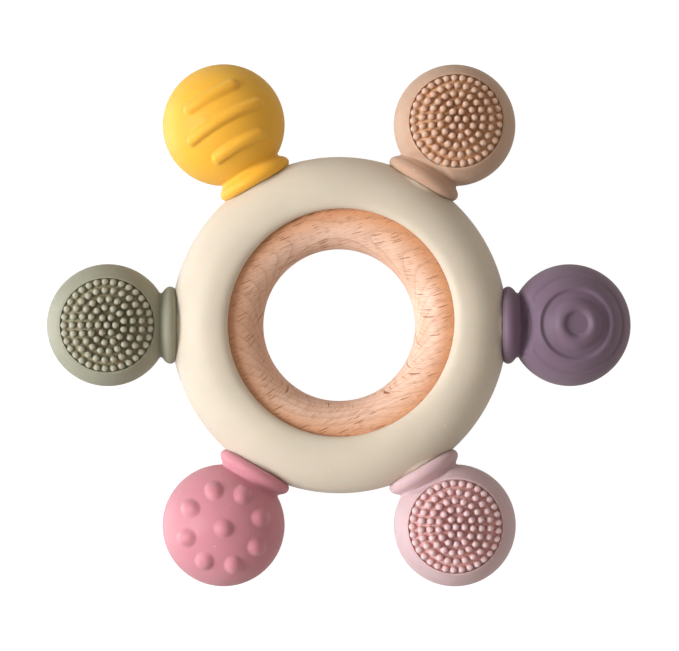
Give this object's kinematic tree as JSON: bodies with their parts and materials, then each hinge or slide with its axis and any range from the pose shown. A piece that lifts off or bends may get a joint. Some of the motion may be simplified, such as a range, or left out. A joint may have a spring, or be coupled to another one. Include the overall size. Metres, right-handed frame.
{
  "type": "teething ring",
  "caption": "Wheel-shaped baby teether: a beech ring held in a silicone ring, with textured silicone balls standing round its rim on necks that twist.",
  "frame": {"origin": "the middle of the wheel, on its axis and halfway through its thickness", "axes": "+Z along the wheel's axis, out of one face; +X from the middle to the ripple ball; +Y in the wheel's plane"},
  "size_m": [0.115, 0.1028, 0.0262],
  "materials": {
    "beech": "sanded and waxed, satin, with short dark flecks",
    "cream_silicone": "matte, soft, very finely grained",
    "purple_silicone": "matte, soft, very finely grained",
    "tan_silicone": "matte, soft, very finely grained",
    "yellow_silicone": "matte, soft, very finely grained",
    "sage_silicone": "matte, soft, very finely grained",
    "rose_silicone": "matte, soft, very finely grained",
    "blush_silicone": "matte, soft, very finely grained"
  },
  "bodies": {
    "carrier": {"silicone_ring": "cream_silicone"},
    "wood": {"wooden_ring": "beech"},
    "ripple": {"ripple_ball": "purple_silicone"},
    "tan_bristle": {"bristle_ball_tan": "tan_silicone"},
    "ridged": {"ridged_ball": "yellow_silicone"},
    "sage_bristle": {"bristle_ball_sage": "sage_silicone"},
    "dotted": {"dotted_ball": "rose_silicone"},
    "blush_bristle": {"bristle_ball_blush": "blush_silicone"}
  },
  "joints": [
    {"name": "wooden_ring_spin", "type": "hinge", "parent": "carrier", "child": "wood", "pos_m": [0, 0, 0], "axis": [0, 0, 1], "continuous": true},
    {"name": "ripple_ball_twist", "type": "hinge", "parent": "carrier", "child": "ripple", "pos_m": [0.04545, 0, 0], "axis": [1, 0, 0], "continuous": true},
    {"name": "tan_ball_twist", "type": "hinge", "parent": "carrier", "child": "tan_bristle", "pos_m": [0.02272, 0.03936, 0], "axis": [0.5, 0.866, 0], "continuous": true},
    {"name": "ridged_ball_twist", "type": "hinge", "parent": "carrier", "child": "ridged", "pos_m": [-0.02272, 0.03936, 0], "axis": [-0.5, 0.866, 0], "continuous": true},
    {"name": "sage_ball_twist", "type": "hinge", "parent": "carrier", "child": "sage_bristle", "pos_m": [-0.04545, 0, 0], "axis": [-1, 0, 0], "continuous": true},
    {"name": "dotted_ball_twist", "type": "hinge", "parent": "carrier", "child": "dotted", "pos_m": [-0.02272, -0.03936, 0], "axis": [-0.5, -0.866, 0], "continuous": true},
    {"name": "blush_ball_twist", "type": "hinge", "parent": "carrier", "child": "blush_bristle", "pos_m": [0.02272, -0.03936, 0], "axis": [0.5, -0.866, 0], "continuous": true}
  ]
}
